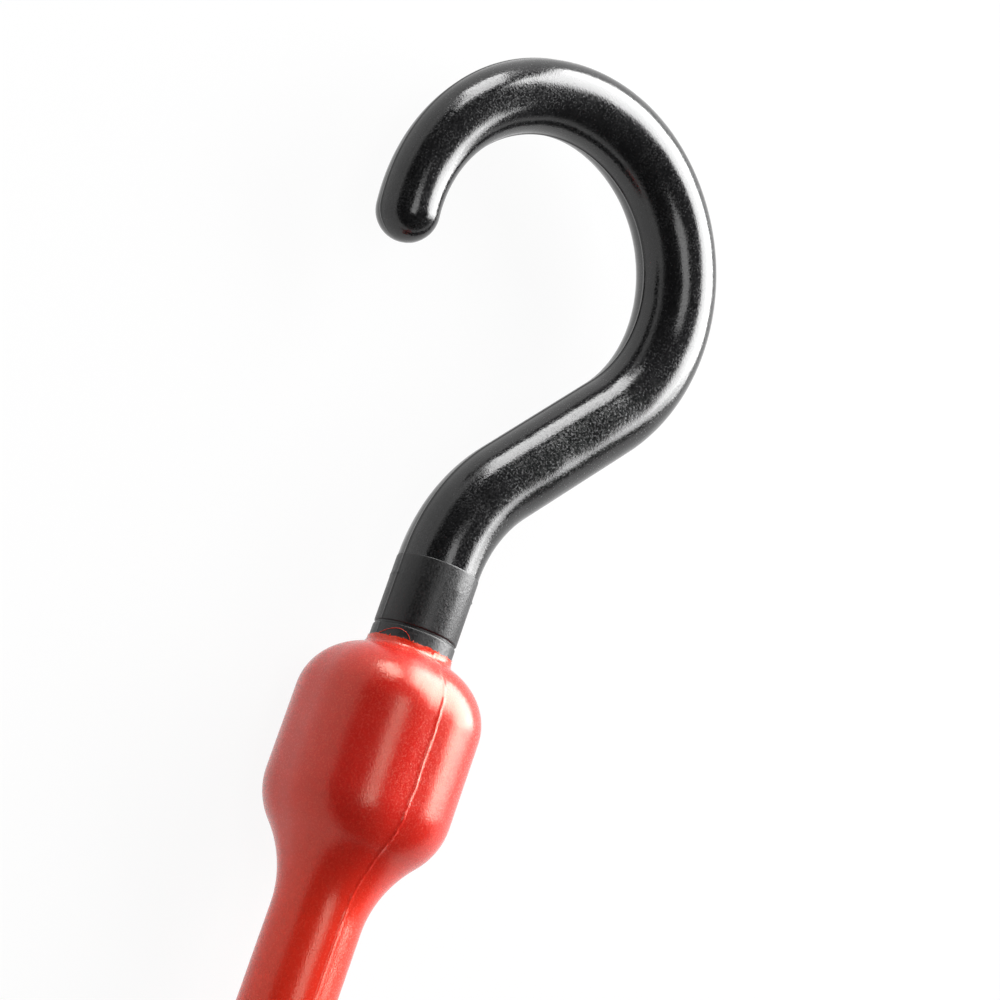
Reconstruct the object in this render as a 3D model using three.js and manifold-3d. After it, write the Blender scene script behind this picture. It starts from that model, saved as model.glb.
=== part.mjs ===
// A moulded elastic tie-down cord: a round elastomer cord with a bulb at each end, and a nylon hook
// whose head turns in each bulb. It lies on its bulbs' flats, cord along X, +Z up, in millimetres.
// The origin is under the middle of the cord, on the surface that it lies on.
import * as THREE from 'three';
import { mergeVertices } from 'three/addons/utils/BufferGeometryUtils.js';
import Module from 'manifold-3d';

// Cord
const cordDiameter = 9.5;
const cordLength = 116.6; // free cord between the two bulbs' necks
const cordSides = 12;
const cordSteps = 5;

// Bulb, measured along the cord from its mouth: shoulder, straight barrel, heel down to the cord
const bulbFlats = 18.4; // across the flats of its rounded square section
const bulbCornerRadius = 7.9;
const shoulderRadius = 6.4; // convex arc where the barrel turns into the shoulder
const shoulderSlope = 71; // degrees, where that arc ends, close to the shank
const flareLength = 0.95; // from the end of that arc up the shank to the lip
const barrelLength = 9.05;
const heelLength = 12.7;
const heelRadius = 7.8; // convex arc where the barrel turns into the heel
const lipWidth = 0.15; // flat ring round the mouth

// Hook rod and loop. The loop's centre lies on the cord's axis, so the pull is straight.
const rodDiameter = 8.7;
const tipDiameter = 6.6;
const loopInsideDiameter = 26.9;
const bendRadius = 17.7; // centreline of the bend out of the collar
const leanAngle = 39.4; // degrees, slope of the straight run between bend and loop
const taperAngle = 64; // degrees round the loop, where the rod starts to taper
const tipAngle = 187.5; // degrees round the loop, centre of the round tip

// Hook collar, shank and head, along the axis from the bulb's mouth
const collarDiameter = 8.8;
const collarTop = 8.9;
const collarBase = 1.6;
const grooveWidth = 0.4;
const grooveDepth = 0.3;
const shankDiameter = 8.5;
const headDepth = 7.5; // from the mouth in to the head's shoulder
const headDiameter = 12;
const headLength = 6.5;
const headRound = 1.5;

// Fits
const swivelClearance = 0.3; // hook to bulb, all round
const seatGap = 0.3; // bulb's neck to the end of the free cord

// Facets
const rodSides = 20;
const bulbSides = 32;
const turnSides = 32;
const bendSteps = 7;
const loopSteps = 32;
const tipRings = 4;
const arcSteps = 7;
const weldDistance = 1e-4;

const hookColour = 0x101011;
const cordColour = 0xc8281e;

const wasm = await Module();
wasm.setup();

const radians = THREE.MathUtils.degToRad;
const rodRadius = rodDiameter / 2;
const tipRadius = tipDiameter / 2;
const loopRadius = loopInsideDiameter / 2 + rodRadius;
const cordRadius = cordDiameter / 2;
const bulbHalf = bulbFlats / 2;
const mouthRadius = shankDiameter / 2 + swivelClearance;
const lipRadius = mouthRadius + lipWidth;
const shoulderTurn = radians(shoulderSlope);
const shoulderLength = shoulderRadius * Math.sin(shoulderTurn) + flareLength;
const bulbLength = shoulderLength + barrelLength + heelLength;

/** Joins rings of equally many points into one closed skin, with a flat cap at each end. */
function loft(rings) {
  const sides = rings[0].length;
  const points = rings.flat();
  const faces = [];
  for (let ring = 0; ring < rings.length - 1; ring++) {
    for (let side = 0; side < sides; side++) {
      const next = (side + 1) % sides;
      const [a, b] = [ring * sides + side, ring * sides + next];
      faces.push(a, b, b + sides, a, b + sides, a + sides);
    }
  }
  const last = (rings.length - 1) * sides;
  for (let side = 1; side < sides - 1; side++) {
    faces.push(0, side + 1, side);
    faces.push(last, last + side, last + side + 1);
  }
  return new THREE.BufferGeometry().setFromPoints(points).setIndex(faces);
}

/** A closed geometry as a solid that can be joined and cut. */
function toSolid(geometry) {
  const bare = geometry.clone();
  bare.deleteAttribute('normal');
  bare.deleteAttribute('uv');
  const welded = mergeVertices(bare, weldDistance);
  const corners = welded.index.array;
  const triVerts = [];
  for (let i = 0; i < corners.length; i += 3) {
    const [a, b, c] = corners.slice(i, i + 3);
    if (a !== b && b !== c && c !== a) triVerts.push(a, b, c);
  }
  return new wasm.Manifold(new wasm.Mesh({
    numProp: 3,
    vertProperties: welded.attributes.position.array,
    triVerts: Uint32Array.from(triVerts),
  }));
}

function toGeometry(solid) {
  const { vertProperties, triVerts } = solid.getMesh();
  const geometry = new THREE.BufferGeometry();
  geometry.setAttribute('position', new THREE.BufferAttribute(vertProperties, 3));
  geometry.setIndex(new THREE.BufferAttribute(triVerts, 1));
  geometry.computeVertexNormals();
  return geometry;
}

/** Turns a profile of [along, radius] pairs, from the bulb's side to the hook's, round the X axis. */
function turned(profile) {
  const points = profile.map(([along, radius]) => new THREE.Vector2(radius, along));
  return new THREE.LatheGeometry(points, turnSides).rotateZ(-Math.PI / 2);
}

/** The hook's centreline in its own plane, from inside the collar to the tip, with rod radii. */
function rodStations() {
  const lean = radians(leanAngle);
  const across = (loopRadius + bendRadius) * Math.cos(lean) - bendRadius;
  const straight = across / Math.sin(lean); // this run puts the loop's centre on the axis
  const bendEnd = collarTop + bendRadius * Math.sin(lean);
  const centre = bendEnd + straight * Math.cos(lean) + loopRadius * Math.sin(lean);
  const stations = [];
  const add = (along, side, heading, radius) => stations.push({ along, side, heading, radius });

  add((collarBase + collarTop) / 2, 0, 0, rodRadius);
  for (let step = 0; step <= bendSteps; step++) {
    const turn = lean * step / bendSteps;
    const side = -bendRadius * (1 - Math.cos(turn));
    add(collarTop + bendRadius * Math.sin(turn), side, turn, rodRadius);
  }
  const end = radians(tipAngle);
  for (let step = 0; step <= loopSteps; step++) {
    const round = THREE.MathUtils.lerp(-lean, end, step / loopSteps);
    const taper = THREE.MathUtils.smoothstep(THREE.MathUtils.radToDeg(round), taperAngle, tipAngle);
    const radius = THREE.MathUtils.lerp(rodRadius, tipRadius, taper);
    const along = centre + loopRadius * Math.sin(round);
    add(along, -loopRadius * Math.cos(round), -round, radius);
  }
  for (let ring = 1; ring <= tipRings; ring++) {
    const lift = Math.PI / 2 * ring / (tipRings + 1);
    const reach = tipRadius * Math.sin(lift);
    const along = centre + loopRadius * Math.sin(end) + reach * Math.cos(end);
    const side = -loopRadius * Math.cos(end) + reach * Math.sin(end);
    add(along, side, -end, tipRadius * Math.cos(lift));
  }
  return stations;
}

/** Round sections square to the centreline; a heading of 0 runs along +X and a turn leans to -Y. */
function rodRing({ along, side, heading, radius }) {
  const ring = [];
  for (let i = 0; i < rodSides; i++) {
    const angle = 2 * Math.PI * (i + 0.5) / rodSides;
    const out = radius * Math.cos(angle);
    const up = radius * Math.sin(angle);
    const x = along + out * Math.sin(heading);
    const y = side + out * Math.cos(heading);
    ring.push(new THREE.Vector3(x, y, up));
  }
  return ring;
}

/** Collar, groove and shank outside the bulb, and the head inside it that keeps the hook from pulling out. */
function shankProfile() {
  const headTop = -headDepth;
  const headEnd = headTop - headLength;
  const headRadius = headDiameter / 2;
  const grooveRadius = shankDiameter / 2 - grooveDepth;
  const profile = [[headEnd, 0], [headEnd, headRadius - headRound]];
  for (let step = 1; step < arcSteps; step++) {
    const angle = Math.PI / 2 * step / arcSteps;
    const along = headEnd + headRound * (1 - Math.cos(angle));
    profile.push([along, headRadius - headRound * (1 - Math.sin(angle))]);
  }
  profile.push(
    [headEnd + headRound, headRadius],
    [headTop, headRadius],
    [headTop, shankDiameter / 2],
    [collarBase - grooveWidth, shankDiameter / 2],
    [collarBase - grooveWidth, grooveRadius],
    [collarBase, grooveRadius],
    [collarBase, collarDiameter / 2],
    [collarTop, collarDiameter / 2],
    [collarTop, 0],
  );
  return profile;
}

function hookGeometry() {
  const rod = toSolid(loft(rodStations().map(rodRing)));
  return toGeometry(rod.add(toSolid(turned(shankProfile()))));
}

/** Half the bulb's width across flats, at stations from the cord's end (-bulbLength) to the mouth (0). */
function bulbStations() {
  const stations = [];
  const drop = bulbHalf - cordRadius;
  const slope = 2 * Math.atan(drop / heelLength);
  const neckRadius = heelLength / Math.sin(slope) - heelRadius;
  for (let step = 0; step <= arcSteps; step++) {
    const turn = slope * step / arcSteps;
    const along = -bulbLength + neckRadius * Math.sin(turn);
    stations.push([along, cordRadius + neckRadius * (1 - Math.cos(turn))]);
  }
  const barrelStart = -bulbLength + heelLength;
  for (let step = arcSteps - 1; step >= 0; step--) {
    const turn = slope * step / arcSteps;
    const along = barrelStart - heelRadius * Math.sin(turn);
    stations.push([along, bulbHalf - heelRadius * (1 - Math.cos(turn))]);
  }
  for (let step = 0; step <= arcSteps; step++) {
    const turn = shoulderTurn * step / arcSteps;
    const along = -shoulderLength + shoulderRadius * Math.sin(turn);
    stations.push([along, bulbHalf - shoulderRadius * (1 - Math.cos(turn))]);
  }
  stations.push([0, lipRadius]);
  return stations;
}

/** A rounded square that turns into a circle as it shrinks to the cord's or the lip's radius. */
function bulbRing([along, half]) {
  const roundHalf = along < -shoulderLength ? cordRadius : lipRadius;
  const flat = (bulbHalf - bulbCornerRadius) * (half - roundHalf) / (bulbHalf - roundHalf);
  const corner = half - flat;
  const ring = [];
  for (let i = 0; i < bulbSides; i++) {
    const angle = 2 * Math.PI * (i + 0.5) / bulbSides;
    const [c, s] = [Math.abs(Math.cos(angle)), Math.abs(Math.sin(angle))];
    const onFlat = Math.min(c, s) / Math.max(c, s) * half <= flat;
    const onCorner = flat * (c + s) + Math.sqrt(Math.max(corner ** 2 - (flat * (c - s)) ** 2, 0));
    const radius = onFlat ? half / Math.max(c, s) : onCorner;
    ring.push(new THREE.Vector3(along, radius * Math.cos(angle), radius * Math.sin(angle)));
  }
  return ring;
}

/** The space that the hook's shank and head turn in, open at the mouth. */
function socketProfile() {
  const headRadius = headDiameter / 2 + swivelClearance;
  const start = -headDepth - headLength - swivelClearance;
  const shoulder = -headDepth + swivelClearance;
  return [
    [start, 0], [start, headRadius], [shoulder, headRadius],
    [shoulder, mouthRadius], [collarBase, mouthRadius], [collarBase, 0],
  ];
}

function bulbGeometry() {
  const body = toSolid(loft(bulbStations().map(bulbRing)));
  return toGeometry(body.subtract(toSolid(turned(socketProfile()))));
}

function cordGeometry() {
  const section = new THREE.Shape();
  for (let i = 0; i < cordSides; i++) {
    const angle = 2 * Math.PI * i / cordSides;
    const corner = [cordRadius * Math.cos(angle), cordRadius * Math.sin(angle)];
    if (i === 0) section.moveTo(...corner);
    else section.lineTo(...corner);
  }
  const reach = cordLength / 2 - seatGap;
  const path = new THREE.LineCurve3(new THREE.Vector3(-reach, 0, 0), new THREE.Vector3(reach, 0, 0));
  return new THREE.ExtrudeGeometry(section, { steps: cordSteps, extrudePath: path });
}

function piece(name, geometry, color, roughness) {
  const material = new THREE.MeshStandardMaterial({ color, roughness, metalness: 0 });
  const mesh = new THREE.Mesh(geometry, material);
  mesh.name = name;
  return mesh;
}

const hook = hookGeometry();
const bulb = bulbGeometry();
const bungee = new THREE.Group();
bungee.position.z = bulbHalf;

const endTurns = { a: Math.PI, b: 0 }; // end a points along -X, end b along +X
for (const [end, turn] of Object.entries(endTurns)) {
  const mouth = new THREE.Group();
  mouth.position.x = cordLength / 2 + bulbLength;
  mouth.add(piece(`hook_${end}`, hook, hookColour, 0.3), piece(`end_bulb_${end}`, bulb, cordColour, 0.5));
  const half = new THREE.Group();
  half.rotation.z = turn;
  half.add(mouth);
  bungee.add(half);
}
bungee.add(piece('elastic_cord', cordGeometry(), cordColour, 0.5));

export default bungee;
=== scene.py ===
"""Dresses a moulded elastic tie-down cord: nylon hooks, urethane bulbs and cord, and a small studio.

It is laid out as an add-on and run as a script, in metres. Each end of the cord is made in its own
axes, with x along the cord from the bulb's mouth out to the hook, y across the hook and z up, and
then placed.
"""
import math

import bmesh
import bpy
from bpy.props import FloatProperty, FloatVectorProperty, IntProperty, PointerProperty
from mathutils import Matrix, Vector


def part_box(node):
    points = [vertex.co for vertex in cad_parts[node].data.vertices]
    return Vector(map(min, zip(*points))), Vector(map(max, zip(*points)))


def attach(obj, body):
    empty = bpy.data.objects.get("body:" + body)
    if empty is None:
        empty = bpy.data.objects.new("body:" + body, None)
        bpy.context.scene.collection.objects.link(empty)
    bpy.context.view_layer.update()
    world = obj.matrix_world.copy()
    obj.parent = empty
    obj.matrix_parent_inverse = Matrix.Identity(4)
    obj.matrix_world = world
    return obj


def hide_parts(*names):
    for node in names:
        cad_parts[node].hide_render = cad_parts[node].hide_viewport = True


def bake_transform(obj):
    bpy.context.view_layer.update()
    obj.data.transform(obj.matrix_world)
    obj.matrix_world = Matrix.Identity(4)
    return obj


bl_info = {
    "name": "Moulded bungee cord",
    "version": (1, 0, 0),
    "blender": (4, 5, 0),
    "location": "View3D > Sidebar > Bungee",
    "description": "Nylon hooks, urethane bulbs and cord of a moulded bungee cord, with its studio",
    "category": "Object",
}

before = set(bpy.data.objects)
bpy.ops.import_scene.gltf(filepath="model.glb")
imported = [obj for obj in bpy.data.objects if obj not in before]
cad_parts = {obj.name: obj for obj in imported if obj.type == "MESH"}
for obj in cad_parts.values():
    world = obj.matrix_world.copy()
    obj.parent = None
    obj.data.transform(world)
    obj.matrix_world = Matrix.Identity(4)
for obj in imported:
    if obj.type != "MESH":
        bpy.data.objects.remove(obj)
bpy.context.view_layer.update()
BULB_LOW, BULB_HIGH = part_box("end_bulb_b")
HOOK_LOW, HOOK_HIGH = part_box("hook_a")
MOUTH = BULB_HIGH.x  # the bulbs' mouths are this far from the middle of the cord
NECK = BULB_LOW.x  # and their necks this far
AXIS_HEIGHT = (BULB_LOW.z + BULB_HIGH.z) / 2
PHOTO_HOOK = (HOOK_LOW + HOOK_HIGH) / 2  # middle of the photographed hook, end a's
END_TURNS = {"a": math.pi, "b": 0.0}  # end a points along -X, end b along +X

# Points round each section
ROD_SIDES = 112
COLLAR_SIDES = 160
BULB_SIDES = 192
CORD_SIDES = 128
THREAD_SIDES = 8
SHARD_SIDES = 4

# Steps along each arc or run
BEND_STEPS = 20
RUN_STEPS = 16
LOOP_STEPS = 130
TIP_STEPS = 16
FILLET_STEPS = 5
BULB_ARC_STEPS = 24
BARREL_STEPS = 14
FLARE_STEPS = 12
THREAD_STEPS = 32

# Closing and shading of the meshes
CROWDING = 0.45  # pulls a section's points together at its moulding seam, below 0.5
SHARP_ANGLE = math.radians(35)
TIP_CLOSE = math.radians(88)  # the round tip ends here, in a small flat cap
CAP_PART = 20  # a head and its socket end in a flat cap, this many times narrower

# Moulding seams and torn edges
TOP_SEAM = math.pi / 2  # along the middle of the top and bottom of the bulbs and the cord
SIDE_SEAM = 0.0  # along both sides of the hooks, in the plane of the loop
RAGGED_WAVES = ((0.5, 9, 1.3), (0.3, 23, 0.4), (0.2, 51, 2.2))  # share, waves in a turn, phase
DOT_PACE = 3  # packs the waves closer for the dots of the witness line
RIDGE_WAVER = 0.9  # how uneven the seam's height is along a bulb, as a share of it
RIDGE_PACE = 400  # radians of those waves in a metre
DRIFT_WAVER = 0.6  # how far the seam strays along a bulb, as a share of its width
DRIFT_PACE = 150  # radians of those waves in a metre
SHARD_SINK = 0.25  # how far a torn shard is sunk in the lip, as a share of its height
SHARD_CHANCE = 0.4  # about this share of the places round the lip have a shard
SHARD_SWAY = 0.6  # the most that a shard's aim strays each way, where the axis is 1 long
SHARD_LEAST = 0.15  # its square is the shortest shard's share of the tallest
SHARD_SEED = 5
THREAD_OFF = 1.2  # the thread's middle is this many of its radii off the shank
THREAD_SKEW = 1.5  # moves the top of the thread's arch towards its end
THREAD_BLUNT = 0.6  # and flattens it

# Fixed colours and strengths
WHITE = (1, 1, 1, 1)
FLOOR_MATT = (0.86, 0.86, 0.86, 1)
WARM_GLOSS = (1.0, 0.83, 0.66, 1.0)  # tint of the urethane's reflections
CORD_LIGHT_FADE = 0.012  # the cord's painted brighter light fades out over this length of a bulb
CORD_LIGHT_SHARE = 0.8  # share of that painted light red on the cord
LIP_GLOW_FADE = 0.0016  # and the painted glow of light through the thin lip fades over this one
ROOM_TOP = 0.17  # the world is white up to here, as the sine of the height above the horizon
ROOM_DARK = 0.32  # and dark from here on
ROOM_OVERHEAD = 0.03  # strength of that dark
ROOM_LIGHT = 0.8  # strength of the white where it isn't seen and only lights


# Properties

def length(name, description, default):
    return FloatProperty(name=name, description=description, default=default, unit="LENGTH", precision=5)


def angle(name, description, degrees):
    return FloatProperty(
        name=name, description=description, default=math.radians(degrees), subtype="ANGLE")


def share(name, description, default):
    return FloatProperty(
        name=name, description=description, default=default, subtype="FACTOR", min=0, max=1)


def power(name, description, default):
    return FloatProperty(name=name, description=description, default=default, subtype="POWER")


def colour(name, description, default):
    return FloatVectorProperty(
        name=name, description=description, default=default, subtype="COLOR", min=0, max=1)


def count(name, description, default):
    return IntProperty(name=name, description=description, default=default)


class HookSizes(bpy.types.PropertyGroup):
    """Sizes of a moulded hook, its collar and the head that turns in the bulb."""
    rod_diameter: length("Rod", "Diameter of the hook's rod", 0.0087)
    tip_diameter: length("Tip", "Diameter of the rod at its round tip", 0.0066)
    loop_inside: length("Loop", "Inside diameter of the loop", 0.0269)
    bend_radius: length("Bend", "Centreline radius of the bend out of the collar", 0.0177)
    lean: angle("Lean", "Slope of the straight run between bend and loop", 39.4)
    taper: angle("Taper", "Where round the loop the rod starts to taper", 64)
    tip: angle("Tip angle", "Where round the loop the round tip is centred", 187.5)
    collar_diameter: length("Collar", "Diameter of the collar", 0.0088)
    collar_top: length("Collar top", "Collar's top edge, from the bulb's mouth", 0.0089)
    collar_base: length("Collar base", "Collar's lower edge, from the bulb's mouth", 0.0016)
    collar_edge: length("Collar edge", "Round on the collar's edges", 0.0002)
    witness_drop: length("Witness line", "Mould witness line below the collar's top", 0.0023)
    witness_height: length("Witness height", "How far the dotted witness line stands out", 0.0001)
    groove_width: length("Groove width", "Width of the groove under the collar", 0.0002)
    groove_depth: length("Groove depth", "Depth of the groove under the collar", 0.00015)
    shank_diameter: length("Shank", "Diameter of the shank in the bulb's mouth", 0.0088)
    head_depth: length("Head depth", "From the mouth in to the head's shoulder", 0.0075)
    head_diameter: length("Head", "Diameter of the head inside the bulb", 0.012)
    head_length: length("Head length", "Length of the head inside the bulb", 0.0065)
    head_round: length("Head round", "Round on the head's inner end", 0.0015)
    seam_height: length("Seam height", "How far the moulding seam stands out", 0.0001)
    seam_width: length("Seam width", "Half width of the moulding seam", 0.00016)


class BulbSizes(bpy.types.PropertyGroup):
    """Sizes of a moulded bulb, along the cord from its mouth."""
    flats: length("Across flats", "Width of the bulb's rounded square section", 0.0184)
    corner_radius: length("Corner radius", "Round of the section's corners", 0.0079)
    shoulder_radius: length("Shoulder radius", "Convex arc from the barrel into the shoulder", 0.0064)
    shoulder_slope: angle("Shoulder slope", "Where that arc ends, close to the shank", 71)
    flare: length("Flare", "From the end of that arc up the shank to the lip", 0.00095)
    barrel: length("Barrel", "Length of the straight barrel", 0.00905)
    heel: length("Heel", "Length of the heel that runs down to the cord", 0.0127)
    heel_radius: length("Heel radius", "Convex arc where the barrel turns into the heel", 0.0078)
    lip_width: length("Lip width", "Flat ring round the mouth", 0.00007)
    lip_gap: length("Lip gap", "Gap between the lip and the hook's shank", 0.00004)
    head_gap: length("Head gap", "Gap round the hook's head, inside", 0.0003)
    lip_tear: length("Lip tear", "How uneven the torn edge of the lip is", 0.00009)
    seam_height: length("Seam height", "How far the moulding seam stands out", 0.00006)
    seam_width: length("Seam width", "Half width of the moulding seam", 0.00017)
    shard_height: length("Shard height", "Tallest torn shard on the lip", 0.00045)
    shard_width: length("Shard width", "Half width of a torn shard", 0.00009)
    shard_count: count("Shards", "Places round the lip for torn shards", 56)
    thread_start: angle("Thread start", "Where a torn thread leaves the lip, from the tip's side", 5)
    thread_end: angle("Thread end", "Where that thread comes back to the lip", 54)
    thread_rise: length("Thread rise", "How far that thread stands off the lip", 0.0009)
    thread_radius: length("Thread radius", "Radius of that thread", 0.00003)


class CordSizes(bpy.types.PropertyGroup):
    """Sizes of the elastic cord between the bulbs."""
    diameter: length("Diameter", "Diameter of the cord", 0.0095)
    tuck: length("Tuck", "How far each end runs on inside its bulb", 0.0015)
    ring_spacing: length("Ring spacing", "Distance between the mesh's rings", 0.001)
    path_points: count("Path points", "Points on the cord's route", 21)


class Finishes(bpy.types.PropertyGroup):
    """Colours of the two plastics, and a brighter red painted on as light: on the cord, and as a glow
    through the thin lips.
    """
    nylon: colour("Nylon", "Black of the hooks", (0.005, 0.005, 0.0055))
    nylon_dust: colour("Nylon grain", "Grey of the grain on the hooks", (0.034, 0.034, 0.035))
    urethane: colour("Urethane", "Red of the bulbs and the cord", (0.68, 0.019, 0.013))
    urethane_dust: colour("Urethane grain", "Paler red of the grain", (0.84, 0.095, 0.060))
    # Painted light: a brighter red for the light that falls on the cord and the glow through the thin
    # lips
    urethane_painted_light: colour("Thin urethane", "Brighter red of the cord and the lips", (0.93, 0.038, 0.016))


class Studio(bpy.types.PropertyGroup):
    """Camera, lamps and floor."""
    azimuth: angle("Azimuth", "Camera's bearing, from straight along +Y", 22)
    elevation: angle("Elevation", "Camera's height above the horizon", 55.7)
    roll: angle("Roll", "Camera's turn about its own line of sight", 90.84)
    distance: length("Distance", "Camera to the top of the near collar", 0.3065)
    lens: FloatProperty(
        name="Lens", description="Focal length in millimetres", default=107.9, unit="CAMERA")
    aim_right: length("Aim right", "Picture's centre, right of the collar's top", 0.00634)
    aim_up: length("Aim up", "Picture's centre, above the collar's top", 0.00699)
    floor_size: length("Floor", "Side of the square floor", 12)
    floor_drop: length("Floor drop", "Room under the object for its moulding seam", 0.00015)
    floor_white: share("Floor white", "How far the seen floor is lifted to white", 0.93)
    # The seen floor's lift is a painted pool of light: full round the photographed end, fading to a
    # weaker strength beyond
    past_pool_strength: share("Far floor", "Strength of the seen floor away from the photographed end", 0.84)
    painted_pool_reach: length("White floor", "How far from the photographed end the floor is white", 0.10)
    painted_pool_fade: length("Floor fade", "How far on from there it takes to fade", 0.22)
    softbox: power("Softbox", "Power of the large softbox beyond the object", 18)
    gleam: power("Gleam", "Power of a panel by the softbox, in glossy reflections alone", 14)
    side_gleam: power("Side gleam", "Power of a panel past the hook, in glossy reflections alone", 3.7)
    top_light: power("Top light", "Power of the small light overhead", 1.4)


# Places

def end_place(end):
    """Takes an end's own axes to the object's."""
    lift = Matrix.Translation((0, 0, AXIS_HEIGHT))
    return lift @ Matrix.Rotation(END_TURNS[end], 4, "Z") @ Matrix.Translation((MOUTH, 0, 0))


def around(along, radius, turn):
    """A point at a radius and an angle round an end's own x axis."""
    return Vector((along, radius * math.cos(turn), radius * math.sin(turn)))


def spaced(start, stop, steps):
    return [start + (stop - start) * step / steps for step in range(steps + 1)]


def smoothstep(low, high, value):
    t = min(max((value - low) / (high - low), 0), 1)
    return t * t * (3 - 2 * t)


# Meshes

def add_object(name, data):
    made = bpy.data.objects.new(name, data)
    bpy.context.scene.collection.objects.link(made)
    return made


def loft(name, rings, place, finish):
    """A closed smooth skin through rings of equally many points, with a flat cap at each end."""
    sides = len(rings[0])
    points = [place @ point for ring in rings for point in ring]
    faces = []
    for start in range(0, len(points) - sides, sides):
        for side in range(sides):
            a = start + side
            b = start + (side + 1) % sides
            faces.append((a, b, b + sides, a + sides))
    faces.append(tuple(range(sides)))
    faces.append(tuple(range(len(points) - sides, len(points))))
    mesh = bpy.data.meshes.new(name)
    mesh.from_pydata(points, [], faces)
    shell = bmesh.new()
    shell.from_mesh(mesh)
    bmesh.ops.recalc_face_normals(shell, faces=shell.faces)
    shell.to_mesh(mesh)
    shell.free()
    mesh.shade_smooth()
    mesh.set_sharp_from_angle(angle=SHARP_ANGLE)
    mesh.materials.append(finish)
    return add_object(name, mesh)


def crowded_angles(sides, seam):
    """Angles round a section, crowded where the two halves of the mould met."""
    turns = [2 * math.pi * step / sides for step in range(sides)]
    return [seam + turn - CROWDING * math.sin(2 * turn) for turn in turns]


def seam_lift(turn, seam, radius, height, width):
    """Height of the moulding seam at an angle round a section, on both sides of it."""
    off = radius * math.sin(turn - seam)
    return height * math.exp(-((off / width) ** 2))


def ragged(turn):
    """An uneven edge round a section, between about -1 and 1."""
    return sum(part * math.sin(waves * turn + phase) for part, waves, phase in RAGGED_WAVES)


def path_mesh(name, points, radii):
    """A line of points with the section's radius at each, for a tree to sweep."""
    mesh = bpy.data.meshes.new(name)
    edges = [(step, step + 1) for step in range(len(points) - 1)]
    mesh.from_pydata(points, edges, [])
    held = mesh.attributes.new("section_radius", "FLOAT", "POINT")
    held.data.foreach_set("value", radii)
    return mesh


# Node trees

def feed(tree, socket, value):
    """Links an output to a socket, or sets the socket to a plain value."""
    if isinstance(value, bpy.types.NodeSocket):
        tree.links.new(value, socket)
    else:
        socket.default_value = value


def add_node(tree, kind, *values, **named):
    """Adds a node, with its inputs fed in order and by name."""
    made = tree.nodes.new(kind)
    for socket, value in zip(made.inputs, values):
        feed(tree, socket, value)
    for name, value in named.items():
        feed(tree, made.inputs[name.replace("_", " ")], value)
    return made


def calc(tree, operation, *values):
    made = add_node(tree, "ShaderNodeMath", *values)
    made.operation = operation
    return made.outputs[0]


def ramp(tree, value, start, stop, low, high):
    """Takes a value from start to stop to one from low to high, and holds it beyond them."""
    return add_node(tree, "ShaderNodeMapRange", value, start, stop, low, high).outputs[0]


def once(name, make, *details, **named):
    """A finish or tree that several operators share, made the first time that it is asked for."""
    for kept in (bpy.data.materials, bpy.data.node_groups):
        if name in kept:
            return kept[name]
    return make(*details, **named)


def new_tree(name, inputs):
    """A geometry tree with named inputs and one geometry output."""
    tree = bpy.data.node_groups.new(name, "GeometryNodeTree")
    for label, kind in inputs:
        tree.interface.new_socket(label, in_out="INPUT", socket_type="NodeSocket" + kind)
    tree.interface.new_socket("Mesh", in_out="OUTPUT", socket_type="NodeSocketGeometry")
    return tree, tree.nodes.new("NodeGroupInput").outputs


def end_tree(tree, shape, finish):
    """Ends a tree with real geometry in its finish."""
    smooth = add_node(tree, "GeometryNodeSetShadeSmooth", shape)
    real = add_node(tree, "GeometryNodeRealizeInstances", smooth.outputs[0])
    coated = add_node(tree, "GeometryNodeSetMaterial", real.outputs[0], Material=finish)
    add_node(tree, "NodeGroupOutput", coated.outputs[0])


def moulded_sweep():
    """Sweeps a round section, with a moulding seam on both sides, along a path."""
    tree, given = new_tree("Moulded sweep", [
        ("Path", "Geometry"), ("Sides", "Int"), ("Seam Turn", "Float"),
        ("Seam Share", "Float"), ("Seam Width", "Float"), ("Finish", "Material"),
    ])
    index = add_node(tree, "GeometryNodeInputIndex").outputs[0]
    turn = calc(tree, "DIVIDE", calc(tree, "MULTIPLY", index, 2 * math.pi), given["Sides"])
    pull = calc(tree, "MULTIPLY", calc(tree, "SINE", calc(tree, "MULTIPLY", turn, 2.0)), CROWDING)
    crowded = calc(tree, "SUBTRACT", turn, pull)
    off = calc(tree, "DIVIDE", calc(tree, "SINE", crowded), given["Seam Width"])
    fade = calc(tree, "EXPONENT", calc(tree, "MULTIPLY", calc(tree, "MULTIPLY", off, off), -1.0))
    radius = calc(tree, "MULTIPLY_ADD", fade, given["Seam Share"], 1.0)
    facing = calc(tree, "ADD", crowded, given["Seam Turn"])
    across = calc(tree, "MULTIPLY", calc(tree, "COSINE", facing), radius)
    upward = calc(tree, "MULTIPLY", calc(tree, "SINE", facing), radius)
    corner = add_node(tree, "ShaderNodeCombineXYZ", across, upward)
    circle = add_node(tree, "GeometryNodeCurvePrimitiveCircle", Resolution=given["Sides"])
    section = add_node(tree, "GeometryNodeSetPosition", circle.outputs[0], Position=corner.outputs[0])

    line = add_node(tree, "GeometryNodeMeshToCurve", given["Path"])
    level = add_node(tree, "GeometryNodeSetCurveNormal", line.outputs[0])
    level.mode = "Z_UP"
    held = add_node(tree, "GeometryNodeInputNamedAttribute", "section_radius")
    sweep = add_node(tree, "GeometryNodeCurveToMesh", level.outputs[0], section.outputs[0],
                     Scale=held.outputs[0], Fill_Caps=True)
    end_tree(tree, sweep.outputs[0], given["Finish"])
    return tree


def random_value(tree, kind, seed):
    """A node that draws random values of a kind from a seed."""
    made = add_node(tree, "FunctionNodeRandomValue", Seed=seed)
    made.data_type = kind
    return made


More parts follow.
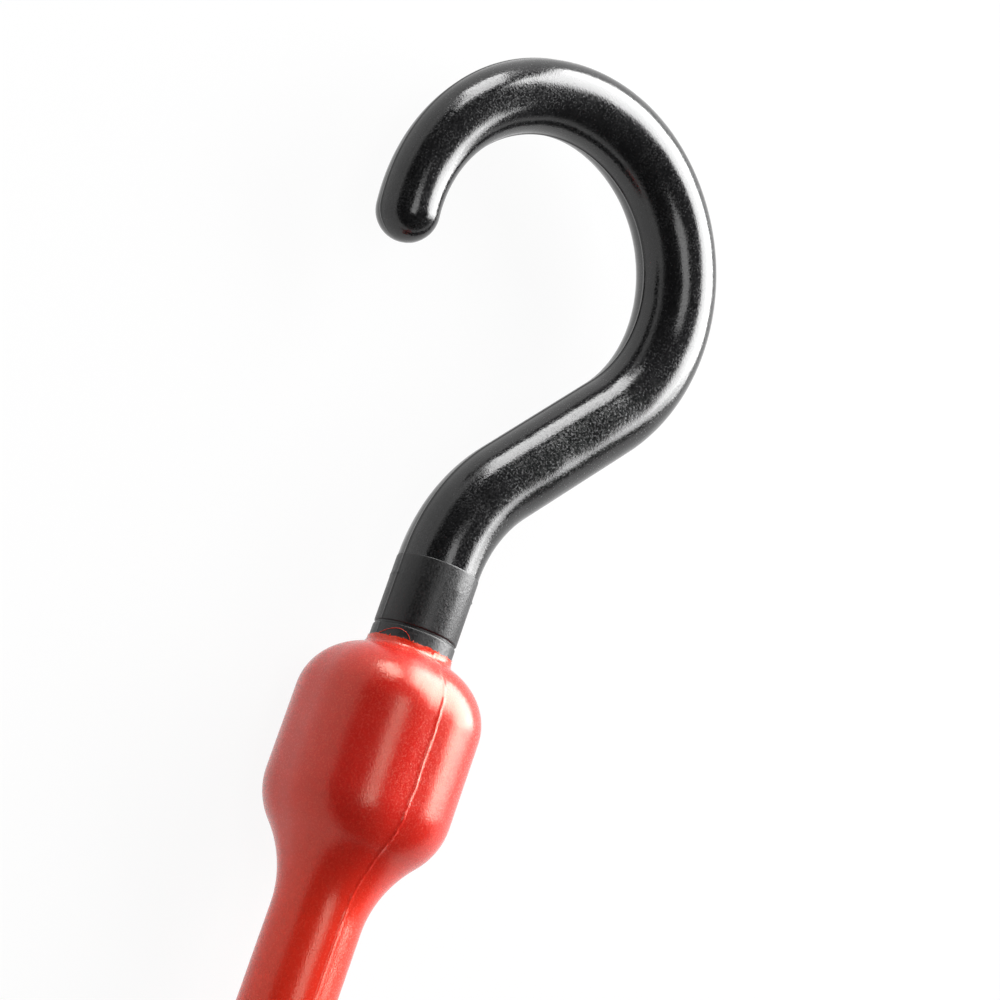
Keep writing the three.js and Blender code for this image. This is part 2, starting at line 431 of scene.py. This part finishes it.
def torn_lip():
    """Stands torn shards of flash on some of a ring's points, leaning every way from one axis."""
    tree, given = new_tree("Torn lip", [
        ("Ring", "Geometry"), ("Axis", "Vector"), ("Height", "Float"), ("Width", "Float"),
        ("Seed", "Int"), ("Finish", "Material"),
    ])
    shard = add_node(tree, "GeometryNodeMeshCone", SHARD_SIDES, Radius_Bottom=1.0, Depth=1.0)
    sunk = add_node(tree, "GeometryNodeTransform", shard.outputs[0], Translation=(0, 0, -SHARD_SINK))

    chance = random_value(tree, "BOOLEAN", given["Seed"])
    chance.inputs["Probability"].default_value = SHARD_CHANCE
    picked = chance.outputs[3]  # the node's outputs are a vector, a float, a whole number and this

    sway = random_value(tree, "FLOAT_VECTOR", calc(tree, "ADD", given["Seed"], 1.0))
    sway.inputs["Min"].default_value = (-SHARD_SWAY, -SHARD_SWAY, -SHARD_SWAY)
    sway.inputs["Max"].default_value = (SHARD_SWAY, SHARD_SWAY, SHARD_SWAY)
    lean = add_node(tree, "ShaderNodeVectorMath", given["Axis"], sway.outputs[0])
    aimed = add_node(tree, "FunctionNodeAlignRotationToVector", Vector=lean.outputs[0])

    tallness = random_value(tree, "FLOAT", calc(tree, "ADD", given["Seed"], 2.0))
    tallness.inputs[2].default_value = SHARD_LEAST  # the least float, after a vector's two sockets
    rise = calc(tree, "MULTIPLY", tallness.outputs[1], tallness.outputs[1])
    height = calc(tree, "MULTIPLY", rise, given["Height"])
    size = add_node(tree, "ShaderNodeCombineXYZ", given["Width"], given["Width"], height)

    points = add_node(tree, "GeometryNodeMeshToPoints", given["Ring"])
    shards = add_node(tree, "GeometryNodeInstanceOnPoints", points.outputs[0], picked,
                      Instance=sunk.outputs[0], Rotation=aimed.outputs[0], Scale=size.outputs[0])
    end_tree(tree, shards.outputs[0], given["Finish"])
    return tree


def grow(name, seed_mesh, tree, inputs):
    """Runs a tree on a seed mesh and keeps what comes out as a plain mesh."""
    seed = add_object(name, seed_mesh)
    modifier = seed.modifiers.new("Grow", "NODES")
    modifier.node_group = tree
    for socket in tree.interface.items_tree:
        if socket.in_out == "INPUT" and socket.name in inputs:
            modifier[socket.identifier] = inputs[socket.name]
    graph = bpy.context.evaluated_depsgraph_get()
    mesh = bpy.data.meshes.new_from_object(seed.evaluated_get(graph))
    if not mesh.polygons:
        raise RuntimeError(f"{tree.name} made nothing for {name}")
    seed.modifiers.remove(modifier)
    seed.data = mesh
    bpy.data.meshes.remove(seed_mesh)
    if mesh.materials[0] is None:  # a tree can leave an empty slot before its finish
        mesh.materials.pop(index=0)
    mesh.name = name
    return seed


# Finishes

def new_finish(name):
    """A node material, its tree, its shader and the object coordinates that its grain follows."""
    finish = bpy.data.materials.new(name)
    finish.use_nodes = True
    tree = finish.node_tree
    shader = tree.nodes["Principled BSDF"]
    place = add_node(tree, "ShaderNodeTexCoord").outputs["Object"]
    return finish, tree, shader, place


def grain(tree, place, width, detail):
    """Noise whose lumps are about as wide as width."""
    noise = add_node(tree, "ShaderNodeTexNoise", Vector=place, Scale=1 / width, Detail=detail)
    return noise.outputs["Fac"]


def pits(tree, place, width):
    """Small round hollows, about as wide as width."""
    cells = add_node(tree, "ShaderNodeTexVoronoi", Vector=place, Scale=1 / width)
    return calc(tree, "POWER", cells.outputs["Distance"], 2.0)


def spread(tree, value, low, high):
    """Stretches noise, which stays near its middle, over a range."""
    return ramp(tree, value, start=0.3, stop=0.7, low=low, high=high)


def mix_colours(tree, amount, first, second):
    made = tree.nodes.new("ShaderNodeMix")
    made.data_type = "RGBA"
    feed(tree, made.inputs["Factor"], amount)
    feed(tree, made.inputs[6], first)  # the colours come after the sockets of numbers and vectors
    feed(tree, made.inputs[7], second)
    return made.outputs[2]


def relief(tree, height, depth, under=None):
    """Bumps of about the given depth, over other bumps where there are some."""
    made = add_node(tree, "ShaderNodeBump", Strength=1.0, Distance=depth, Height=height)
    if under:
        feed(tree, made.inputs["Normal"], under)
    return made.outputs[0]


def nylon(name, finishes, roughness, pit_depth, ior):
    """Black moulded nylon: a fine speckle of duller dots and shallow pits, over slow ripples."""
    finish, tree, shader, place = new_finish(name)
    fine = grain(tree, place, width=0.00022, detail=2.0)
    patches = grain(tree, place, width=0.0022, detail=3.0)
    ripples = grain(tree, place, width=0.006, detail=1.0)
    hollows = pits(tree, place, width=0.0002)
    dusty = spread(tree, patches, low=0.2, high=0.8)
    shade = calc(tree, "MULTIPLY", spread(tree, fine, low=0.0, high=1.0), dusty)
    black = mix_colours(tree, shade, (*finishes.nylon, 1), (*finishes.nylon_dust, 1))
    feed(tree, shader.inputs["Base Color"], black)
    dull = spread(tree, fine, low=roughness - 0.06, high=roughness + 0.16)
    feed(tree, shader.inputs["Roughness"], dull)
    slow = relief(tree, ripples, depth=0.00012)
    feed(tree, shader.inputs["Normal"], relief(tree, hollows, depth=pit_depth, under=slow))
    shader.inputs["IOR"].default_value = ior
    return finish


def urethane(name, finishes):
    """Red moulded urethane: sandy grain, slow unevenness and a little light passing under the skin, with
    brighter light painted on the cord and a painted glow at the lip.
    """
    finish, tree, shader, place = new_finish(name)
    fine = grain(tree, place, width=0.00022, detail=2.0)
    sand = grain(tree, place, width=0.00017, detail=1.0)
    patches = grain(tree, place, width=0.003, detail=4.0)
    ripples = grain(tree, place, width=0.007, detail=1.0)
    specks = ramp(tree, sand, start=0.46, stop=0.66, low=0.0, high=0.62)
    shade = calc(tree, "MULTIPLY", specks, spread(tree, patches, low=0.3, high=1.0))
    red = mix_colours(tree, shade, (*finishes.urethane, 1), (*finishes.urethane_dust, 1))
    along = calc(tree, "ABSOLUTE", add_node(tree, "ShaderNodeSeparateXYZ", place).outputs["X"])
    # Painted light: the cord's brighter red, and the glow of light through the thin lip
    cord = ramp(tree, along, NECK, NECK + CORD_LIGHT_FADE, CORD_LIGHT_SHARE, 0.0)
    lip = ramp(tree, along, MOUTH - LIP_GLOW_FADE, MOUTH, 0.0, 1.0)
    painted_light_red = mix_colours(tree, calc(tree, "MAXIMUM", cord, lip), red, (*finishes.urethane_painted_light, 1))
    feed(tree, shader.inputs["Base Color"], painted_light_red)
    shader.inputs["Specular Tint"].default_value = WARM_GLOSS
    feed(tree, shader.inputs["Roughness"], spread(tree, fine, low=0.10, high=0.34))
    slow = relief(tree, ripples, depth=0.0001)
    feed(tree, shader.inputs["Normal"], relief(tree, sand, depth=0.00002, under=slow))
    shader.inputs["IOR"].default_value = 1.58
    shader.inputs["Subsurface Weight"].default_value = 0.2
    shader.inputs["Subsurface Radius"].default_value = (1.0, 0.25, 0.15)
    shader.inputs["Subsurface Scale"].default_value = 0.001
    return finish


def urethane_finish():
    return once("Red urethane", urethane, "Red urethane", bpy.context.scene.bungee_finishes)


def nylon_finish(name, **surface):
    return once(name, nylon, name, bpy.context.scene.bungee_finishes, **surface)


# Hook shapes

def rod_stations(hook):
    """The hook's centreline in its own plane, from inside the collar to the tip, with its radii."""
    rod = hook.rod_diameter / 2
    tip = hook.tip_diameter / 2
    bend = hook.bend_radius
    lean = hook.lean
    loop = hook.loop_inside / 2 + rod
    # The straight run has the length that puts the loop's centre on the axis
    straight = ((loop + bend) * math.cos(lean) - bend) / math.sin(lean)
    bend_end = Vector((hook.collar_top + bend * math.sin(lean), -bend * (1 - math.cos(lean)), 0))
    run = Vector((math.cos(lean), -math.sin(lean), 0))
    centre = bend_end.x + straight * math.cos(lean) + loop * math.sin(lean)

    stations = [(Vector(((hook.collar_base + hook.collar_top) / 2, 0, 0)), rod)]
    for turn in spaced(0, lean, BEND_STEPS):
        along = hook.collar_top + bend * math.sin(turn)
        stations.append((Vector((along, -bend * (1 - math.cos(turn)), 0)), rod))
    for step in spaced(0, straight, RUN_STEPS)[1:-1]:
        stations.append((bend_end + run * step, rod))
    for turn in spaced(-lean, hook.tip, LOOP_STEPS):
        point = Vector((centre + loop * math.sin(turn), -loop * math.cos(turn), 0))
        taper = smoothstep(hook.taper, hook.tip, turn)
        stations.append((point, rod + (tip - rod) * taper))
    last = stations[-1][0]
    onward = Vector((math.cos(hook.tip), math.sin(hook.tip), 0))
    for lift in spaced(0, TIP_CLOSE, TIP_STEPS)[1:]:
        stations.append((last + onward * tip * math.sin(lift), tip * math.cos(lift)))
    return stations


def rounded_profile(corners):
    """A profile of (along, radius, round) corners, each round one turned into an arc."""
    points = []
    for step, (along, radius, fillet) in enumerate(corners):
        corner = Vector((along, radius))
        if not fillet:
            points.append(corner)
            continue
        before = (Vector(corners[step - 1][:2]) - corner).normalized()
        after = (Vector(corners[step + 1][:2]) - corner).normalized()
        half = before.angle(after) / 2
        middle = corner + (before + after).normalized() * fillet / math.sin(half)
        start = (corner + before * fillet / math.tan(half) - middle).normalized()
        end = (corner + after * fillet / math.tan(half) - middle).normalized()
        for part in spaced(0, 1, FILLET_STEPS):
            points.append(middle + start.slerp(end, part) * fillet)
    return points


def collar_profile(hook):
    """Head inside the bulb, and shank, groove, witness line and collar outside it."""
    head_top = -hook.head_depth
    head_end = head_top - hook.head_length
    head = hook.head_diameter / 2
    shank = hook.shank_diameter / 2
    collar = hook.collar_diameter / 2
    groove_floor = shank - hook.groove_depth
    groove_start = hook.collar_base - hook.groove_width
    witness = hook.collar_top - hook.witness_drop
    edge = hook.collar_edge
    return rounded_profile([
        (head_end, head / CAP_PART, 0),
        (head_end, head, hook.head_round),
        (head_top, head, edge),
        (head_top, shank, edge),
        (groove_start, shank, edge),
        (groove_start, groove_floor, 0),
        (hook.collar_base, groove_floor, 0),
        (hook.collar_base, collar, edge),
        (witness - edge, collar, 0),
        (witness, collar, 0),
        (witness + edge, collar, 0),
        (hook.collar_top, collar, edge),
        (hook.collar_top, hook.rod_diameter / 4, 0),  # closed inside the rod
    ])


def collar_rings(hook):
    """Rings of the turned collar, with the moulding seam on the part that shows."""
    rings = []
    witness = hook.collar_top - hook.witness_drop
    for along, radius in collar_profile(hook):
        outside = radius > hook.shank_diameter / 2 - hook.groove_depth / 2 and along > 0
        height = hook.seam_height / 2 if outside else 0
        dots = hook.witness_height if abs(along - witness) < hook.collar_edge / 2 else 0
        ring = []
        for turn in crowded_angles(COLLAR_SIDES, SIDE_SEAM):
            reach = radius + seam_lift(turn, SIDE_SEAM, radius, height, hook.seam_width)
            reach += dots * max(ragged(DOT_PACE * turn), 0)
            ring.append(around(along, reach, turn))
        rings.append(ring)
    return rings


# Bulb shapes

def bulb_stations(bulb, cord_radius, mouth_radius):
    """Half the bulb's width at places from its neck to its lip, and the radius it is round at there."""
    half = bulb.flats / 2
    lip = mouth_radius + bulb.lip_width
    arc = bulb.shoulder_radius
    tilt = bulb.shoulder_slope
    shoulder = arc * math.sin(tilt) + bulb.flare
    reach = shoulder + bulb.barrel + bulb.heel
    slope = 2 * math.atan((half - cord_radius) / bulb.heel)
    neck = bulb.heel / math.sin(slope) - bulb.heel_radius
    stations = []
    for turn in spaced(0, slope, BULB_ARC_STEPS):
        along = -reach + neck * math.sin(turn)
        stations.append((along, cord_radius + neck * (1 - math.cos(turn)), cord_radius))
    for turn in spaced(slope, 0, BULB_ARC_STEPS)[1:]:
        along = -reach + bulb.heel - bulb.heel_radius * math.sin(turn)
        stations.append((along, half - bulb.heel_radius * (1 - math.cos(turn)), cord_radius))
    for along in spaced(-shoulder - bulb.barrel, -shoulder, BARREL_STEPS)[1:-1]:
        stations.append((along, half, cord_radius))
    for turn in spaced(0, tilt, BULB_ARC_STEPS):
        stations.append((-shoulder + arc * math.sin(turn), half - arc * (1 - math.cos(turn)), lip))
    foot = half - arc * (1 - math.cos(tilt))
    for part in spaced(0, 1, FLARE_STEPS)[1:]:
        hollow = (1 - part) ** 3  # thins out as it climbs the shank
        stations.append((-bulb.flare * (1 - part), lip + (foot - lip) * hollow, lip))
    return stations


def section_radius(bulb, half, round_half, turn):
    """Radius at an angle of a rounded square that turns into a circle as it shrinks."""
    full = bulb.flats / 2
    flat = (full - bulb.corner_radius) * (half - round_half) / (full - round_half)
    corner = half - flat
    low, high = sorted((abs(math.cos(turn)), abs(math.sin(turn))))
    if low / high * half <= flat:
        return half / high
    return flat * (low + high) + math.sqrt(max(corner ** 2 - (flat * (high - low)) ** 2, 0))


def bulb_rings(bulb, hook, cord_radius):
    """Rings of the bulb's skin, from its neck to the torn lip, and on into the socket of the head."""
    turns = crowded_angles(BULB_SIDES, TOP_SEAM)
    bore = hook.shank_diameter / 2 + bulb.lip_gap
    rings = []
    for along, half, round_half in bulb_stations(bulb, cord_radius, bore):
        tear = bulb.lip_tear * smoothstep(-bulb.flare, 0, along)
        ridge = bulb.seam_height * (1 + RIDGE_WAVER * ragged(RIDGE_PACE * along))
        drift = bulb.seam_width * DRIFT_WAVER * ragged(DRIFT_PACE * along)
        ring = []
        for turn in turns:
            radius = section_radius(bulb, half, round_half, turn)
            radius += seam_lift(turn, TOP_SEAM + drift / radius, radius, ridge, bulb.seam_width)
            ring.append(around(along + tear * ragged(turn), radius, turn))
        rings.append(ring)
    head = hook.head_diameter / 2 + bulb.head_gap
    shoulder = -hook.head_depth + bulb.head_gap
    floor = -hook.head_depth - hook.head_length - bulb.head_gap
    socket = (
        (-2 * bulb.lip_tear, bore),  # clear of the torn edge
        (shoulder, bore),
        (shoulder, head),
        (floor, head),
        (floor, head / CAP_PART),
    )
    for along, radius in socket:
        rings.append([around(along, radius, turn) for turn in turns])
    return rings


def thread_points(bulb, shank_radius):
    """A thread of torn flash that lies round the shank, off the lip and back to it."""
    reach = shank_radius + THREAD_OFF * bulb.thread_radius
    points = []
    for part in spaced(0, 1, THREAD_STEPS):
        turn = bulb.thread_start + (bulb.thread_end - bulb.thread_start) * part
        rise = 0
        if 0 < part < 1:
            rise = bulb.thread_rise * math.sin(math.pi * part ** THREAD_SKEW) ** THREAD_BLUNT
        points.append(around(rise, reach, turn))
    return points


# Stage

def photo_camera(studio, target):
    """A camera that sees the target from the studio's bearing, with the picture's centre beside it."""
    out = math.cos(studio.elevation)
    toward = Vector((
        math.sin(studio.azimuth) * out,
        -math.cos(studio.azimuth) * out,
        math.sin(studio.elevation),
    ))
    level = Vector((math.cos(studio.azimuth), math.sin(studio.azimuth), 0))
    right = level * math.cos(studio.roll) + toward.cross(level) * math.sin(studio.roll)
    up = toward.cross(right)
    place = target + toward * studio.distance
    back = (place - target - right * studio.aim_right - up * studio.aim_up).normalized()
    right = (right - back * right.dot(back)).normalized()
    lens = bpy.data.cameras.new("photo_camera")
    lens.lens = studio.lens
    lens.clip_start = 0.01
    lens.clip_end = 50
    camera = add_object("photo_camera", lens)
    turn = Matrix((right, back.cross(right), back)).transposed()
    camera.matrix_world = Matrix.Translation(place) @ turn.to_4x4()
    return camera


def shown_white(tree, elsewhere):
    """1 where a surface or the world is seen or mirrored, and another strength where it only lights."""
    path = tree.nodes.new("ShaderNodeLightPath").outputs
    seen = calc(tree, "MAXIMUM", path["Is Camera Ray"], path["Is Glossy Ray"])
    seen = calc(tree, "MAXIMUM", seen, path["Is Transmission Ray"])
    return ramp(tree, seen, 0.0, 1.0, elsewhere, 1.0)


def white_floor(studio):
    """A matt white floor that keeps a faint shadow, lifted towards white where it is seen, with a
    painted pool of light round the photographed end that fades to a greyer white beyond.
    """
    half = studio.floor_size / 2
    low = -studio.floor_drop
    mesh = bpy.data.meshes.new("floor")
    corners = [(x * half, y * half, low) for x, y in ((-1, -1), (1, -1), (1, 1), (-1, 1))]
    mesh.from_pydata(corners, [], [(0, 1, 2, 3)])
    finish = bpy.data.materials.new("White floor")
    finish.use_nodes = True
    tree = finish.node_tree
    tree.nodes.clear()
    matt = add_node(tree, "ShaderNodeBsdfDiffuse", FLOOR_MATT)
    place = add_node(tree, "ShaderNodeTexCoord").outputs["Object"]
    # Painted pool of light: the seen floor is brightest round the photographed end and fades with
    # distance from it
    apart = add_node(tree, "ShaderNodeVectorMath", place, PHOTO_HOOK)
    apart.operation = "DISTANCE"
    far = studio.painted_pool_reach + studio.painted_pool_fade
    fade = ramp(tree, apart.outputs["Value"], studio.painted_pool_reach, far, 1.0, studio.past_pool_strength)
    lit = add_node(tree, "ShaderNodeEmission", WHITE, fade)
    lifted = calc(tree, "MULTIPLY", shown_white(tree, 0.0), studio.floor_white)
    mixed = add_node(tree, "ShaderNodeMixShader", lifted, matt.outputs[0], lit.outputs[0])
    add_node(tree, "ShaderNodeOutputMaterial", mixed.outputs[0])
    mesh.materials.append(finish)
    add_object("floor", mesh)


def add_softbox(name, watts, bearing, height, distance, size, gloss_only=False):
    """A softbox at a bearing and height in degrees, aimed at the photographed hook."""
    lamp = bpy.data.lights.new(name, "AREA")
    lamp.shape = "RECTANGLE"
    lamp.size, lamp.size_y = size
    lamp.energy = watts
    turn = math.radians(bearing)
    lift = math.radians(height)
    out = Vector((math.cos(turn) * math.cos(lift), math.sin(turn) * math.cos(lift), math.sin(lift)))
    made = add_object(name, lamp)
    made.visible_camera = False
    made.visible_diffuse = not gloss_only
    place = PHOTO_HOOK + out * distance
    made.matrix_world = Matrix.Translation(place) @ out.to_track_quat("Z", "Y").to_matrix().to_4x4()


def studio_world(scene):
    """A white room up to a little above the horizon, and dark overhead."""
    world = bpy.data.worlds.new("Studio")
    scene.world = world
    world.use_nodes = True
    tree = world.node_tree
    tree.nodes.clear()
    facing = add_node(tree, "ShaderNodeTexCoord").outputs["Generated"]
    rise = add_node(tree, "ShaderNodeSeparateXYZ", facing).outputs["Z"]
    fade = ramp(tree, rise, ROOM_TOP, ROOM_DARK, 1.0, ROOM_OVERHEAD)
    strength = calc(tree, "MULTIPLY", fade, shown_white(tree, ROOM_LIGHT))
    sky = add_node(tree, "ShaderNodeBackground", WHITE, strength)
    add_node(tree, "ShaderNodeOutputWorld", sky.outputs[0])


# Operators

class BUNGEE_OT_set_stage(bpy.types.Operator):
    """Sets up the camera, floor, lamps and world"""
    bl_idname = "bungee.set_stage"
    bl_label = "Set the stage"

    def execute(self, context):
        scene = context.scene
        scene.view_settings.view_transform = "Standard"
        studio = scene.bungee_studio
        collar = end_place("a") @ Vector((scene.bungee_hook.collar_top, 0, 0))
        scene.camera = photo_camera(studio, collar)
        white_floor(studio)
        add_softbox("softbox", studio.softbox,
                    bearing=134, height=25.5, distance=0.75, size=(1.12, 0.65))
        add_softbox("top_light", studio.top_light,
                    bearing=270, height=80, distance=0.75, size=(0.50, 0.25))
        add_softbox("gleam", studio.gleam,
                    bearing=139, height=24, distance=0.74, size=(1.02, 0.58), gloss_only=True)
        add_softbox("side_gleam", studio.side_gleam,
                    bearing=199, height=14, distance=0.75, size=(0.26, 0.40), gloss_only=True)
        studio_world(scene)
        return {"FINISHED"}


class BUNGEE_OT_lay_cord(bpy.types.Operator):
    """Lays the elastic cord between the two bulbs"""
    bl_idname = "bungee.lay_cord"
    bl_label = "Lay the cord"

    def execute(self, context):
        scene = context.scene
        cord = scene.bungee_cord
        bulb = scene.bungee_bulb
        radius = cord.diameter / 2
        reach = NECK + cord.tuck
        rings = round(2 * reach / cord.ring_spacing)
        points = [(along, 0, AXIS_HEIGHT) for along in spaced(-reach, reach, rings)]
        seed = path_mesh("cord_path", points, [radius] * len(points))
        skin = grow("cord_skin", seed, once("Moulded sweep", moulded_sweep), {
            "Sides": CORD_SIDES, "Seam Turn": TOP_SEAM, "Seam Share": bulb.seam_height / radius,
            "Seam Width": bulb.seam_width / radius, "Finish": urethane_finish(),
        })
        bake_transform(skin)
        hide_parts("elastic_cord")
        return {"FINISHED"}


class BUNGEE_OT_mould_bulbs(bpy.types.Operator):
    """Moulds the bulb at each end of the cord, with the socket of the hook's head"""
    bl_idname = "bungee.mould_bulbs"
    bl_label = "Mould the bulbs"

    def execute(self, context):
        scene = context.scene
        rings = bulb_rings(scene.bungee_bulb, scene.bungee_hook, scene.bungee_cord.diameter / 2)
        for end in END_TURNS:
            skin = loft(f"bulb_{end}_skin", rings, end_place(end), urethane_finish())
            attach(skin, f"cord_end_{end}")
            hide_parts(f"end_bulb_{end}")
        return {"FINISHED"}


class BUNGEE_OT_tear_lips(bpy.types.Operator):
    """Stands torn moulding flash round each bulb's mouth: shards at both, and a thread at one"""
    bl_idname = "bungee.tear_lips"
    bl_label = "Tear the lips"

    def execute(self, context):
        scene = context.scene
        bulb = scene.bungee_bulb
        shank = scene.bungee_hook.shank_diameter / 2
        radius = shank + bulb.lip_gap + bulb.lip_width / 2
        turns = spaced(0, 2 * math.pi, bulb.shard_count)[:-1]
        for seed, end in enumerate(END_TURNS, start=SHARD_SEED):
            place = end_place(end)
            ring = bpy.data.meshes.new("lip_ring")
            ring.from_pydata([place @ around(0, radius, turn) for turn in turns], [], [])
            flash = grow(f"lip_flash_{end}", ring, once("Torn lip", torn_lip), {
                "Axis": place.to_3x3() @ Vector((1, 0, 0)), "Height": bulb.shard_height,
                "Width": bulb.shard_width, "Seed": seed, "Finish": urethane_finish(),
            })
            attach(flash, f"cord_end_{end}")
        points = [end_place("a") @ point for point in thread_points(bulb, shank)]
        path = path_mesh("thread_path", points, [bulb.thread_radius] * len(points))
        thread = grow("lip_thread_a", path, once("Moulded sweep", moulded_sweep), {
            "Sides": THREAD_SIDES, "Seam Turn": 0.0, "Seam Share": 0.0, "Seam Width": 1.0,
            "Finish": urethane_finish(),
        })
        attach(thread, "cord_end_a")
        return {"FINISHED"}


class BUNGEE_OT_bend_hooks(bpy.types.Operator):
    """Bends the rod of each hook, from its collar to its round tip"""
    bl_idname = "bungee.bend_hooks"
    bl_label = "Bend the hooks"

    def execute(self, context):
        hook = context.scene.bungee_hook
        stations = rod_stations(hook)
        gloss = nylon_finish("Gloss nylon", roughness=0.12, pit_depth=0.000005, ior=1.54)
        for end in END_TURNS:
            place = end_place(end)
            points = [place @ point for point, radius in stations]
            seed = path_mesh("rod_path", points, [radius for point, radius in stations])
            rod = grow(f"hook_{end}_rod", seed, once("Moulded sweep", moulded_sweep), {
                "Sides": ROD_SIDES, "Seam Turn": SIDE_SEAM,
                "Seam Share": 2 * hook.seam_height / hook.rod_diameter,
                "Seam Width": 2 * hook.seam_width / hook.rod_diameter, "Finish": gloss,
            })
            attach(rod, f"hook_{end}")
            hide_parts(f"hook_{end}")
        return {"FINISHED"}


class BUNGEE_OT_turn_collars(bpy.types.Operator):
    """Makes the collar of each hook, with its groove and the head that turns in the bulb"""
    bl_idname = "bungee.turn_collars"
    bl_label = "Turn the collars"

    def execute(self, context):
        satin = nylon_finish("Satin nylon", roughness=0.36, pit_depth=0.000012, ior=1.46)
        rings = collar_rings(context.scene.bungee_hook)
        for end in END_TURNS:
            collar = loft(f"hook_{end}_collar", rings, end_place(end), satin)
            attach(collar, f"hook_{end}")
        return {"FINISHED"}


class BUNGEE_PT_panel(bpy.types.Panel):
    """Lists the cord's steps and its sizes"""
    bl_idname = "BUNGEE_PT_panel"
    bl_label = "Bungee cord"
    bl_space_type = "VIEW_3D"
    bl_region_type = "UI"
    bl_category = "Bungee"

    def draw(self, context):
        for step in STEPS:
            self.layout.operator(step.bl_idname)
        for name in GROUPS:
            box = self.layout.box()
            group = getattr(context.scene, name)
            for field in group.__annotations__:
                box.prop(group, field)


STEPS = (
    BUNGEE_OT_set_stage,
    BUNGEE_OT_lay_cord,
    BUNGEE_OT_mould_bulbs,
    BUNGEE_OT_tear_lips,
    BUNGEE_OT_bend_hooks,
    BUNGEE_OT_turn_collars,
)
GROUPS = {
    "bungee_hook": HookSizes,
    "bungee_bulb": BulbSizes,
    "bungee_cord": CordSizes,
    "bungee_finishes": Finishes,
    "bungee_studio": Studio,
}


def register():
    for name, group in GROUPS.items():
        bpy.utils.register_class(group)
        setattr(bpy.types.Scene, name, PointerProperty(type=group))
    for made in (*STEPS, BUNGEE_PT_panel):
        bpy.utils.register_class(made)


def unregister():
    for made in (BUNGEE_PT_panel, *reversed(STEPS)):
        bpy.utils.unregister_class(made)
    for name, group in reversed(GROUPS.items()):
        delattr(bpy.types.Scene, name)
        bpy.utils.unregister_class(group)


def main():
    register()
    bpy.ops.bungee.set_stage()
    bpy.ops.bungee.lay_cord()
    bpy.ops.bungee.mould_bulbs()
    bpy.ops.bungee.tear_lips()
    bpy.ops.bungee.bend_hooks()
    bpy.ops.bungee.turn_collars()


if __name__ == "__main__":
    main()
